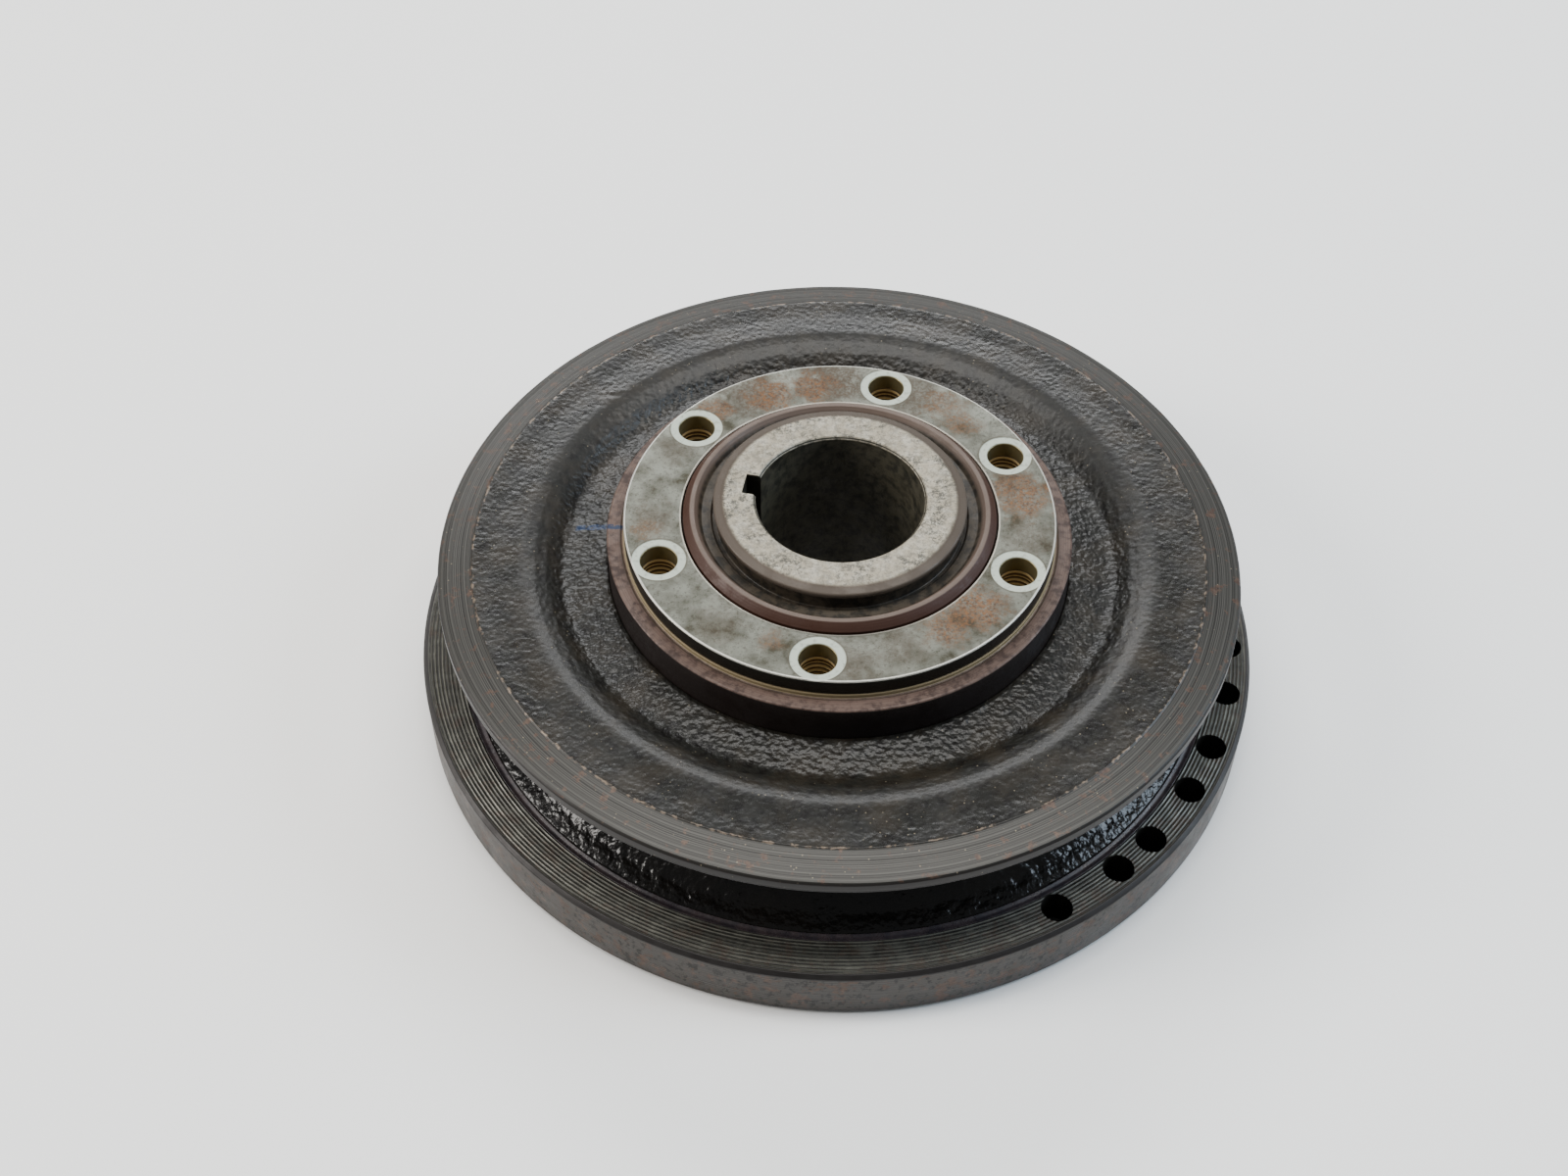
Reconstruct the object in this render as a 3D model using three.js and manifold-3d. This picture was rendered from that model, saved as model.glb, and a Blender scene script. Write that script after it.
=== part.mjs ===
import * as THREE from 'three';
import { mergeVertices } from 'three/addons/utils/BufferGeometryUtils.js';
import Module from 'manifold-3d';

// V-belt pulley with a torsional damper ring. Millimetres, +Z is the pulley's axis.
// The rear end of the hub sleeve stands on z = 0 and the front of the pulley faces up.

const wasm = await Module();
wasm.setup();

// Hub sleeve
const BORE_RADIUS = 16;
const BORE_CHAMFER = 0.6;
const KEYWAY_WIDTH = 5;
const KEYWAY_OUTER_RADIUS = 18.5;
const KEYWAY_ANGLE = 169;
const SLEEVE_RADIUS = 26;
const HUB_FLANGE_BOTTOM = 23;

// Boss, oil groove and collar at the front of the hub
const BOSS_FACE_RADIUS = 21.8;
const BOSS_RADIUS = 24;
const BOSS_NECK_RADIUS = 23.4;
const BOSS_TOP = 47.7;
const GROOVE_FLOOR_RADIUS = 26.3;
const GROOVE_FLOOR = 43.5;
const COLLAR_TOP = 45;
const COLLAR_TOP_RADIUS = 28.4;
const COLLAR_RADIUS = 29.8;

// Flange of the hub that carries the plate and the casting
const SEAT_RADIUS = 40.9;
const SEAT_TOP = 39.9;
const LIP_RADIUS = 44.5;
const LIP_TOP = 39.2;

// Flange plate with its ring of bolt holes
const PLATE_INNER_RADIUS = 30.15;
const PLATE_OUTER_RADIUS = 41.1;
const PLATE_BOTTOM = 40.2;
const PLATE_TOP = 43.4;
const BOLT_CIRCLE_RADIUS = 36;
const BOLT_HOLE_RADIUS = 3.45;
const THREAD_HOLE_RADIUS = 3.4;
const BOLT_HOLE_ANGLES = [25.6, 74.3, 140.8, 199.8, 263, 336.2];

// Cast pulley body
const CASTING_BORE_RADIUS = 44.8;
const DISH_FLOOR = 30.7;
const DISH_RADIUS = 52.5;
const WEB_RADIUS = 60.6;
const WEB_TOP = 34.5;
const BAND_RADIUS = 70.5;
const RIM_RADIUS = 77.2;
const RIM_TOP = 33.5;
const RIM_BOTTOM = 31.1;
const GROOVE_ROOT_RADIUS = 64;
const DRUM_RADIUS = 73;
const DRUM_INNER_RADIUS = 60;
const DRUM_TOP = 12;
const DRUM_BOTTOM = 1;

// Bonded rubber ring
const RUBBER_INNER_RADIUS = 73.3;
const RUBBER_OUTER_RADIUS = 74.6;
const RUBBER_BOTTOM = 1.5;
const RUBBER_TOP = 11.6;

// Inertia ring with its drilled balance holes
const RING_INNER_RADIUS = 74.9;
const RING_OUTER_RADIUS = 82.5;
const RING_BOTTOM = 0.5;
const RING_TOP = 12;
const RING_CHAMFER = 0.6;
const BALANCE_HOLE_RADIUS = 2.85;
const BALANCE_HOLE_CIRCLE = 77.95;
const BALANCE_HOLE_DEPTH = 8;
const BALANCE_HOLE_ANGLES = [300, 310.8, 317.6, 328, 336.4, 346.6, 355.4];

const ROUND_SEGMENTS = 96;
const HOLE_SEGMENTS = 20;

function toSolid(geometry) {
  const plain = geometry.clone();
  plain.deleteAttribute('normal');
  plain.deleteAttribute('uv');
  const merged = mergeVertices(plain, 1e-4);
  const mesh = new wasm.Mesh({
    numProp: 3,
    vertProperties: new Float32Array(merged.attributes.position.array),
    triVerts: new Uint32Array(merged.index.array),
  });
  mesh.merge();
  return new wasm.Manifold(mesh);
}

function toMesh(name, solid, look) {
  const result = solid.getMesh();
  const geometry = new THREE.BufferGeometry();
  geometry.setAttribute('position', new THREE.BufferAttribute(result.vertProperties, 3));
  geometry.setIndex(new THREE.BufferAttribute(result.triVerts, 1));
  geometry.computeVertexNormals();
  const mesh = new THREE.Mesh(geometry, new THREE.MeshStandardMaterial(look));
  mesh.name = name;
  return mesh;
}

// Turns a closed profile of [radius, height] points round the Z axis.
function turned(profile) {
  const points = profile.map(([radius, height]) => new THREE.Vector2(radius, height));
  points.push(points[0].clone());
  const geometry = new THREE.LatheGeometry(points, ROUND_SEGMENTS);
  geometry.rotateX(Math.PI / 2);
  return toSolid(geometry);
}

// Upright drill of the given radius at a place on a circle round the Z axis.
function drill(radius, bottom, top, circle, degrees) {
  const angle = THREE.MathUtils.degToRad(degrees);
  const geometry = new THREE.CylinderGeometry(radius, radius, top - bottom, HOLE_SEGMENTS);
  geometry.rotateX(Math.PI / 2);
  geometry.translate(circle * Math.cos(angle), circle * Math.sin(angle), (top + bottom) / 2);
  return toSolid(geometry);
}

function drilled(solid, radius, bottom, top, circle, angles) {
  return angles.reduce(
    (body, degrees) => body.subtract(drill(radius, bottom, top, circle, degrees)),
    solid,
  );
}

function hub() {
  const profile = [
    [BORE_RADIUS + 1, 0],
    [SLEEVE_RADIUS - 1, 0],
    [SLEEVE_RADIUS, 1],
    [SLEEVE_RADIUS, HUB_FLANGE_BOTTOM - 2],
    [SLEEVE_RADIUS + 2, HUB_FLANGE_BOTTOM],
    [LIP_RADIUS - 0.5, HUB_FLANGE_BOTTOM],
    [LIP_RADIUS, HUB_FLANGE_BOTTOM + 0.5],
    [LIP_RADIUS, LIP_TOP - 0.4],
    [LIP_RADIUS - 0.4, LIP_TOP],
    [SEAT_RADIUS + 0.5, LIP_TOP],
    [SEAT_RADIUS, SEAT_TOP],
    [COLLAR_RADIUS, SEAT_TOP],
    [COLLAR_RADIUS, PLATE_TOP + 0.2],
    [COLLAR_TOP_RADIUS, COLLAR_TOP],
    [COLLAR_TOP_RADIUS - 1, COLLAR_TOP - 0.1],
    [GROOVE_FLOOR_RADIUS, GROOVE_FLOOR],
    [BOSS_NECK_RADIUS + 1, GROOVE_FLOOR],
    [BOSS_NECK_RADIUS + 0.8, GROOVE_FLOOR - 0.5],
    [BOSS_NECK_RADIUS, GROOVE_FLOOR - 0.5],
    [BOSS_NECK_RADIUS, BOSS_TOP - 1.8],
    [BOSS_RADIUS, BOSS_TOP - 1.3],
    [BOSS_RADIUS - 0.1, BOSS_TOP - 0.9],
    [BOSS_RADIUS - 0.8, BOSS_TOP - 0.3],
    [BOSS_FACE_RADIUS, BOSS_TOP],
    [BORE_RADIUS + BORE_CHAMFER, BOSS_TOP],
    [BORE_RADIUS, BOSS_TOP - BORE_CHAMFER],
    [BORE_RADIUS, 1],
  ];
  const key = new THREE.BoxGeometry(KEYWAY_OUTER_RADIUS, KEYWAY_WIDTH, BOSS_TOP + 2);
  key.translate(KEYWAY_OUTER_RADIUS / 2, 0, BOSS_TOP / 2);
  key.rotateZ(THREE.MathUtils.degToRad(KEYWAY_ANGLE));
  const body = turned(profile).subtract(toSolid(key));
  const bottom = HUB_FLANGE_BOTTOM - 1;
  const top = SEAT_TOP + 1;
  const tapped = drilled(body, THREAD_HOLE_RADIUS, bottom, top, BOLT_CIRCLE_RADIUS, BOLT_HOLE_ANGLES);
  return toMesh('hub', tapped, { color: 0x6e5a50, roughness: 0.55, metalness: 0.7 });
}

function flangePlate() {
  const profile = [
    [PLATE_INNER_RADIUS, PLATE_BOTTOM],
    [PLATE_OUTER_RADIUS - 0.2, PLATE_BOTTOM],
    [PLATE_OUTER_RADIUS, PLATE_BOTTOM + 0.2],
    [PLATE_OUTER_RADIUS, PLATE_TOP - 0.3],
    [PLATE_OUTER_RADIUS - 0.3, PLATE_TOP],
    [PLATE_INNER_RADIUS + 0.2, PLATE_TOP],
    [PLATE_INNER_RADIUS, PLATE_TOP - 0.2],
  ];
  const ring = turned(profile);
  const bottom = PLATE_BOTTOM - 1;
  const top = PLATE_TOP + 1;
  const body = drilled(ring, BOLT_HOLE_RADIUS, bottom, top, BOLT_CIRCLE_RADIUS, BOLT_HOLE_ANGLES);
  return toMesh('flange_plate', body, { color: 0x8c8a82, roughness: 0.4, metalness: 0.9 });
}

function pulleyCasting() {
  const profile = [
    [CASTING_BORE_RADIUS, HUB_FLANGE_BOTTOM - 3],
    [CASTING_BORE_RADIUS + 5, HUB_FLANGE_BOTTOM - 3],
    [CASTING_BORE_RADIUS + 7, HUB_FLANGE_BOTTOM],
    [DRUM_INNER_RADIUS - 3, HUB_FLANGE_BOTTOM],
    [DRUM_INNER_RADIUS, HUB_FLANGE_BOTTOM - 3],
    [DRUM_INNER_RADIUS, DRUM_BOTTOM + 1],
    [DRUM_INNER_RADIUS + 1, DRUM_BOTTOM],
    [DRUM_RADIUS - 0.3, DRUM_BOTTOM],
    [DRUM_RADIUS, DRUM_BOTTOM + 0.3],
    [DRUM_RADIUS, DRUM_TOP],
    [69.6, 13.4],
    [66.4, 16],
    [GROOVE_ROOT_RADIUS, 20],
    [GROOVE_ROOT_RADIUS, 26.2],
    [65, 27.1],
    [RIM_RADIUS - 0.3, RIM_BOTTOM],
    [RIM_RADIUS, RIM_BOTTOM + 0.3],
    [RIM_RADIUS, RIM_TOP - 0.5],
    [RIM_RADIUS - 0.5, RIM_TOP],
    [BAND_RADIUS, WEB_TOP + 0.2],
    [WEB_RADIUS, WEB_TOP],
    [WEB_RADIUS - 3, WEB_TOP - 0.6],
    [DISH_RADIUS + 2.6, DISH_FLOOR + 1.8],
    [DISH_RADIUS, DISH_FLOOR],
    [CASTING_BORE_RADIUS, DISH_FLOOR + 1],
  ];
  return toMesh('pulley_casting', turned(profile), {
    color: 0x2b2a27,
    roughness: 0.6,
    metalness: 0.4,
  });
}

function damperRubber() {
  const profile = [
    [RUBBER_INNER_RADIUS, RUBBER_BOTTOM],
    [RUBBER_OUTER_RADIUS, RUBBER_BOTTOM],
    [RUBBER_OUTER_RADIUS, RUBBER_TOP],
    [RUBBER_INNER_RADIUS, RUBBER_TOP],
  ];
  return toMesh('damper_rubber', turned(profile), {
    color: 0x17151a,
    roughness: 0.5,
    metalness: 0,
  });
}

function inertiaRing() {
  const profile = [
    [RING_INNER_RADIUS, RING_BOTTOM],
    [RING_OUTER_RADIUS - RING_CHAMFER, RING_BOTTOM],
    [RING_OUTER_RADIUS, RING_BOTTOM + RING_CHAMFER],
    [RING_OUTER_RADIUS, RING_TOP - RING_CHAMFER],
    [RING_OUTER_RADIUS - RING_CHAMFER, RING_TOP],
    [RING_INNER_RADIUS, RING_TOP],
  ];
  const bottom = RING_TOP - BALANCE_HOLE_DEPTH;
  const top = RING_TOP + 1;
  const body = drilled(
    turned(profile),
    BALANCE_HOLE_RADIUS,
    bottom,
    top,
    BALANCE_HOLE_CIRCLE,
    BALANCE_HOLE_ANGLES,
  );
  return toMesh('inertia_ring', body, { color: 0x55534c, roughness: 0.5, metalness: 0.7 });
}

const pulley = new THREE.Group();
pulley.name = 'v_belt_pulley';
pulley.add(hub());
pulley.add(flangePlate());
pulley.add(pulleyCasting());
pulley.add(damperRubber());
pulley.add(inertiaRing());

export default pulley;
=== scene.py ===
import math
from collections import namedtuple

import bpy
from bpy.props import FloatProperty, FloatVectorProperty, IntProperty, PointerProperty
from mathutils import Matrix, Vector


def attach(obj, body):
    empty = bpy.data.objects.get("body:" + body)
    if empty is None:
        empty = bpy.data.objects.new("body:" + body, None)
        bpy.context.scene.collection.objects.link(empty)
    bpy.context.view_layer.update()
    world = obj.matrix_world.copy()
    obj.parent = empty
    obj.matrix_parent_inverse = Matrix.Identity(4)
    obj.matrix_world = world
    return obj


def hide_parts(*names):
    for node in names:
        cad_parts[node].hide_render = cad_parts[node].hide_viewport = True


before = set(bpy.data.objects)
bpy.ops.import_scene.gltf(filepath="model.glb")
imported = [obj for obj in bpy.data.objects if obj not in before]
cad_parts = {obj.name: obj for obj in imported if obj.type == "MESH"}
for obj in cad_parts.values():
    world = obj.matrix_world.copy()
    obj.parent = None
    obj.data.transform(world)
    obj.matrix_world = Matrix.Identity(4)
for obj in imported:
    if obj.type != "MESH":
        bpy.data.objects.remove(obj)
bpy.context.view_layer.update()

bl_info = {
    "name": "Damped V-belt pulley",
    "version": (1, 0, 0),
    "blender": (4, 5, 0),
    "location": "3D View > Sidebar > Pulley",
    "description": "Models the turned and cast pieces of a damped V-belt pulley",
    "category": "Mesh",
}

MM = 0.001
FULL_TURN = 2 * math.pi

# Bolt holes of the plate and drilled balance holes of the ring, degrees from +X.
BOLT_ANGLES = (25.6, 74.3, 140.8, 199.8, 263.0, 336.2)
BALANCE_ANGLES = (300.0, 310.8, 317.6, 328.0, 336.4, 346.6, 355.4)

# Angle of the pitted blotch at the foot of the web, degrees from +X.
BLOTCH_ANGLE = 137.0

# Flat faces that the turning is divided into.
HUB_STEPS = 288
CASTING_STEPS = 600
RING_STEPS = 480
BOLT_HOLE_STEPS = 64
SMALL_HOLE_STEPS = 40

# Lumps of the cast skin: where, width and height in mm, and layers of noise.
CAST_LUMPS = (
    ("dish", 1.2, 0.36, 1),
    ("web", 2.4, 0.045, 1),
    ("groove", 1.6, 0.60, 2),
    ("rim", 4.0, 0.10, 1),
    ("blotch", 0.9, 0.9, 2),
)

# Studio lights: name, place, target, size, power in watts, tint. Metres.
LIGHTS = (
    ("ceiling", (0.0, 0.20, 1.6), (0, 0, 0), (1.8, 0.5), 33.0, (1.0, 0.985, 0.955)),
    ("window", (-0.10, 1.38, 1.03), (0, 0, 0.03), (1.3, 0.28), 19.0, (0.98, 0.99, 1.0)),
    ("right window", (1.25, 0.10, 0.82), (0, 0, 0), (0.60, 0.75), 19.0, (0.70, 0.84, 1.0)),
    ("left window", (-1.25, -0.05, 0.78), (0, 0, 0), (0.5, 0.7), 22.0, (1.0, 0.96, 0.92)),
)
SKY_COLOUR = (0.80, 0.83, 0.86, 1.0)
SKY_STRENGTH = 0.30

# Camera: lens and sensor in mm, angles in degrees, distances in metres.
LENS = 48.4
SENSOR = 36.0
CAMERA_ELEVATION = 48.81
CAMERA_ROLL = 0.337
CAMERA_TARGET = (-0.0105, 0, 0.012)
CAMERA_DISTANCE = 0.424
CAMERA_RISE = 0.00637

# A corner of a turned profile. rounding is its fillet radius, and pitch the longest
# edge allowed between this corner and the next one.
Corner = namedtuple("Corner", "radius height rounding pitch", defaults=(0.0, 1.0))


def length(name, millimetres, description):
    return FloatProperty(
        name=name,
        description=description,
        default=millimetres * MM,
        min=0.0,
        precision=5,
        subtype="DISTANCE",
        unit="LENGTH",
    )


def colour(name, rgb, description):
    return FloatVectorProperty(
        name=name,
        description=description,
        default=rgb,
        min=0.0,
        max=1.0,
        size=3,
        subtype="COLOR",
    )


class PulleyHubSizes(bpy.types.PropertyGroup):
    bore: length("Bore radius", 16.0, "Radius of the bore through the sleeve")
    keyway_width: length("Keyway width", 5.0, "Width of the keyway")
    keyway_radius: length("Keyway radius", 18.5, "Distance from the axis to the keyway's floor")
    keyway_angle: FloatProperty(
        name="Keyway angle",
        description="Where the keyway lies, turned from +X",
        default=math.radians(169),
        subtype="ANGLE",
        unit="ROTATION",
    )
    sleeve: length("Sleeve radius", 26.0, "Outside radius of the rear sleeve")
    flange_rear: length("Flange rear", 23.0, "Height of the flange's rear face")
    boss: length("Boss radius", 24.0, "Outside radius of the front boss")
    boss_top: length("Boss top", 47.7, "Height of the boss face")
    groove_floor: length("Oil groove floor", 43.4, "Height of the groove round the boss")
    collar: length("Collar radius", 29.8, "Outside radius of the collar")
    collar_top: length("Collar top", 45.0, "Height of the collar")
    seat: length("Seat radius", 41.3, "Outside radius of the step under the plate")
    seat_top: length("Seat top", 39.9, "Height of the step under the plate")
    lip: length("Lip radius", 44.5, "Outside radius of the flange")
    lip_top: length("Lip top", 39.2, "Height of the turned lip")
    thread_crest: length("Thread crest", 3.4, "Radius at the crests of the threads")
    thread_root: length("Thread root", 3.95, "Radius at the roots of the threads")
    thread_pitch: length("Thread pitch", 1.25, "Rise of one thread")


class PulleyPlateSizes(bpy.types.PropertyGroup):
    inner: length("Inner radius", 30.1, "Radius of the plate's opening")
    outer: length("Outer radius", 41.1, "Outside radius of the plate")
    bottom: length("Bottom", 39.95, "Height of the plate's rear face")
    top: length("Top", 43.4, "Height of the plate's front face")
    bolt_circle: length("Bolt circle", 36.0, "Radius of the circle of holes")
    hole: length("Hole radius", 3.45, "Radius of a bolt hole")
    ring: length("Ring radius", 5.1, "Radius of the pale ring round a hole")


class PulleyCastingSizes(bpy.types.PropertyGroup):
    bore: length("Bore radius", 44.6, "Radius of the bore that the hub is pressed into")
    dish: length("Dish floor", 30.7, "Height of the dish round the hub")
    web_inner: length("Web inner radius", 60.6, "Radius where the dish rises to the web")
    web: length("Web height", 34.4, "Height of the flat web")
    band: length("Band radius", 70.5, "Radius where the turned band begins")
    rim: length("Rim radius", 77.2, "Outside radius of the front disc")
    rim_top: length("Rim top", 33.5, "Height of the rim's front edge")
    rim_bottom: length("Rim bottom", 31.1, "Height of the rim's rear edge")
    root: length("Groove root radius", 64.0, "Radius at the bottom of the belt groove")
    drum: length("Drum radius", 73.15, "Outside radius of the drum inside the rubber")
    drum_inner: length("Drum inner radius", 60.0, "Inside radius of the drum")
    drum_top: length("Drum top", 12.0, "Height of the groove's foot")
    drum_bottom: length("Drum bottom", 1.0, "Height of the drum's rear edge")


class PulleyRingSizes(bpy.types.PropertyGroup):
    rubber_inner: length("Rubber inner radius", 73.18, "Inside radius of the rubber")
    rubber_outer: length("Rubber outer radius", 74.72, "Outside radius of the rubber")
    rubber_top: length("Rubber top", 11.75, "Height of the rubber's front face")
    inner: length("Ring inner radius", 74.75, "Inside radius of the inertia ring")
    outer: length("Ring outer radius", 82.5, "Outside radius of the inertia ring")
    bottom: length("Ring bottom", 0.5, "Height of the ring's rear face")
    top: length("Ring top", 12.0, "Height of the ring's front face")
    ridges: IntProperty(
        name="Ridges", description="Turned ridges on the front face", default=9, min=1
    )
    ridge_depth: length("Ridge depth", 0.20, "Depth of a turned ridge")
    balance_circle: length("Balance circle", 77.95, "Radius of the circle of balance holes")
    balance_hole: length("Balance hole radius", 2.9, "Radius of a balance hole")
    balance_depth: length("Balance hole depth", 8.0, "Depth of a balance hole")


class PulleyColours(bpy.types.PropertyGroup):
    casting: colour("Casting", (0.0085, 0.0082, 0.0068), "Black cast iron")
    turned_band: colour("Turned band", (0.016, 0.015, 0.013), "Bare iron of the rim band")
    dark_rust: colour("Dark rust", (0.050, 0.026, 0.018), "Brown rust and burnt oil")
    boss: colour("Boss face", (0.255, 0.228, 0.172), "Grainy grey end face")
    lip: colour("Lip", (0.076, 0.046, 0.035), "Pinkish brown turned lip")
    # Oil is used only in the trench round the boss, where it is partly painted shade
    oil: colour("Oil", (0.012, 0.010, 0.007), "Burnt oil in corners")
    thread: colour("Thread", (0.62, 0.47, 0.24), "Yellow plating in the holes")
    plate: colour("Plate", (0.082, 0.082, 0.066), "Ground steel")
    pale_ring: colour("Pale ring", (0.36, 0.39, 0.33), "Clean rings round the holes")
    rubber: colour("Rubber", (0.024, 0.020, 0.024), "Rubber ring")
    ring: colour("Inertia ring", (0.052, 0.052, 0.043), "Turned iron of the ring")
    paint: colour("Paint mark", (0.006, 0.017, 0.048), "Blue paint mark")
    floor: colour("Floor", (0.80, 0.80, 0.785), "Studio floor")


# ---------------------------------------------------------------- modelling


def deselect():
    if bpy.context.object and bpy.context.object.mode != "OBJECT":
        bpy.ops.object.mode_set(mode="OBJECT")
    bpy.ops.object.select_all(action="DESELECT")


def select_only(piece):
    deselect()
    piece.select_set(True)
    bpy.context.view_layer.objects.active = piece


def fillet(before, corner, after):
    """Points of the arc that rounds a corner."""
    here = Vector((corner.radius, corner.height))
    back = Vector((before.radius, before.height)) - here
    ahead = Vector((after.radius, after.height)) - here
    turn = back.angle(ahead)
    if corner.rounding <= 0 or turn > math.radians(177):
        return [here]
    reach = corner.rounding / math.tan(turn / 2)
    reach = min(reach, 0.45 * back.length, 0.45 * ahead.length)
    radius = reach * math.tan(turn / 2)
    start = here + back.normalized() * reach
    end = here + ahead.normalized() * reach
    bisector = (back.normalized() + ahead.normalized()).normalized()
    centre = here + bisector * math.hypot(reach, radius)
    count = max(2, min(8, round(math.degrees(math.pi - turn) / 15)))
    points = []
    for i in range(count + 1):
        share = i / count
        spoke = (start - centre).slerp(end - centre, share)
        points.append(centre + spoke * radius)
    return points


def profile_points(corners):
    """Rounds the corners of a closed profile and divides its long edges."""
    points = []
    total = len(corners)
    arcs = [
        fillet(corners[i - 1], corners[i], corners[(i + 1) % total]) for i in range(total)
    ]
    for i, arc in enumerate(arcs):
        points.extend(arc)
        start = arc[-1]
        end = arcs[(i + 1) % total][0]
        parts = max(1, math.ceil((end - start).length / corners[i].pitch - 0.01))
        for part in range(1, parts):
            points.append(start.lerp(end, part / parts))
    return points


def turned(name, corners, steps):
    """Draws a profile by extruding one vertex along it, then turns it round Z.

    A profile that starts on the axis also ends there and is left open between the two.
    """
    points = profile_points(corners)
    around = points[1:] if corners[0].radius == 0 else points[1:] + points[:1]
    deselect()
    bpy.ops.mesh.primitive_plane_add(size=MM, location=(0, 0, 0))
    piece = bpy.context.object
    piece.name = name
    piece.data.name = name
    bpy.ops.object.mode_set(mode="EDIT")
    bpy.ops.mesh.select_mode(type="VERT")
    bpy.ops.mesh.select_all(action="SELECT")
    bpy.ops.mesh.merge(type="CENTER")
    bpy.ops.transform.translate(value=(points[0].x, 0, points[0].y))
    for here, there in zip(points, around):
        step = (there.x - here.x, 0, there.y - here.y)
        bpy.ops.mesh.extrude_region_move(TRANSFORM_OT_translate={"value": step})
    bpy.ops.mesh.select_all(action="SELECT")
    bpy.ops.mesh.remove_doubles(threshold=MM * 0.001)
    bpy.ops.object.mode_set(mode="OBJECT")
    turn = piece.modifiers.new("turn", "SCREW")
    turn.axis = "Z"
    turn.angle = FULL_TURN
    turn.steps = steps
    turn.render_steps = steps
    turn.use_smooth_shade = False
    bpy.ops.object.modifier_apply(modifier=turn.name)
    bpy.ops.object.mode_set(mode="EDIT")
    bpy.ops.mesh.select_all(action="SELECT")
    bpy.ops.mesh.remove_doubles(threshold=MM * 0.001)
    bpy.ops.mesh.normals_make_consistent(inside=False)
    bpy.ops.object.mode_set(mode="OBJECT")
    return piece


def on_circle(radius, degrees, height=0.0):
    angle = math.radians(degrees)
    return Vector((radius * math.cos(angle), radius * math.sin(angle), height))


def place_copies(tool, radius, angles):
    """Copies a cutting tool to each angle on a circle and joins the copies."""
    copies = []
    for degrees in angles:
        select_only(tool)
        bpy.ops.object.duplicate(linked=False)
        copies.append(bpy.context.object)
        bpy.ops.transform.translate(value=on_circle(radius, degrees))
    bpy.data.objects.remove(tool)
    select_only(copies[0])
    for copy in copies:
        copy.select_set(True)
    bpy.ops.object.join()
    bpy.ops.object.transform_apply(location=True, rotation=True, scale=True)
    return copies[0]


def cut(piece, tool):
    """Cuts a tool's shape out of a piece and removes the tool."""
    whole = len(piece.data.vertices)
    select_only(piece)
    modifier = piece.modifiers.new("cut", "BOOLEAN")
    modifier.operation = "DIFFERENCE"
    modifier.solver = "MANIFOLD"
    modifier.object = tool
    bpy.ops.object.modifier_apply(modifier=modifier.name)
    bpy.data.objects.remove(tool)
    if len(piece.data.vertices) == whole:
        raise RuntimeError(f"{piece.name} was not cut")


def roughen(piece, group, size, strength, depth):
    """Pushes the vertices of a group along their normals by a cloud noise."""
    texture = bpy.data.textures.new(f"{group} lumps", "CLOUDS")
    texture.noise_scale = size
    texture.noise_depth = depth
    texture.noise_basis = "ORIGINAL_PERLIN"
    select_only(piece)
    modifier = piece.modifiers.new("roughen", "DISPLACE")
    modifier.texture = texture
    modifier.texture_coords = "LOCAL"
    modifier.mid_level = 0.5
    modifier.strength = strength
    modifier.vertex_group = group
    bpy.ops.object.modifier_apply(modifier=modifier.name)
    bpy.data.textures.remove(texture)


def weigh(piece, group, weight_at):
    """Makes a vertex group. Its weight comes from each vertex's radius, height and place."""
    target = piece.vertex_groups.new(name=group)
    for vertex in piece.data.vertices:
        weight = weight_at(math.hypot(vertex.co.x, vertex.co.y), vertex.co.z, vertex.co)
        if weight > 0:
            target.add([vertex.index], weight, "REPLACE")


def ramp(value, low, high):
    share = min(1.0, max(0.0, (value - low) / (high - low)))
    return share * share * (3 - 2 * share)


def smooth(piece, degrees=32):
    select_only(piece)
    bpy.ops.object.shade_smooth_by_angle(angle=math.radians(degrees))


def open_edges(piece):
    """Number of vertices on open or doubled edges, which a closed piece has none of."""
    select_only(piece)
    bpy.ops.object.mode_set(mode="EDIT")
    bpy.ops.mesh.select_mode(type="VERT")
    bpy.ops.mesh.select_all(action="DESELECT")
    bpy.ops.mesh.select_non_manifold()
    bpy.ops.object.mode_set(mode="OBJECT")
    return sum(vertex.select for vertex in piece.data.vertices)


def finish_piece(piece, body, node, material):
    """Checks that a piece is closed, then gives it its material slot and body, and hides the
    imported part of that node.
    """
    if not piece.data.polygons or open_edges(piece):
        raise RuntimeError(f"{piece.name} is not one closed shape")
    piece.data.materials.clear()
    piece.data.materials.append(material)
    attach(piece, body)
    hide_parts(node)


# ---------------------------------------------------------------- shader helpers


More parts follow.
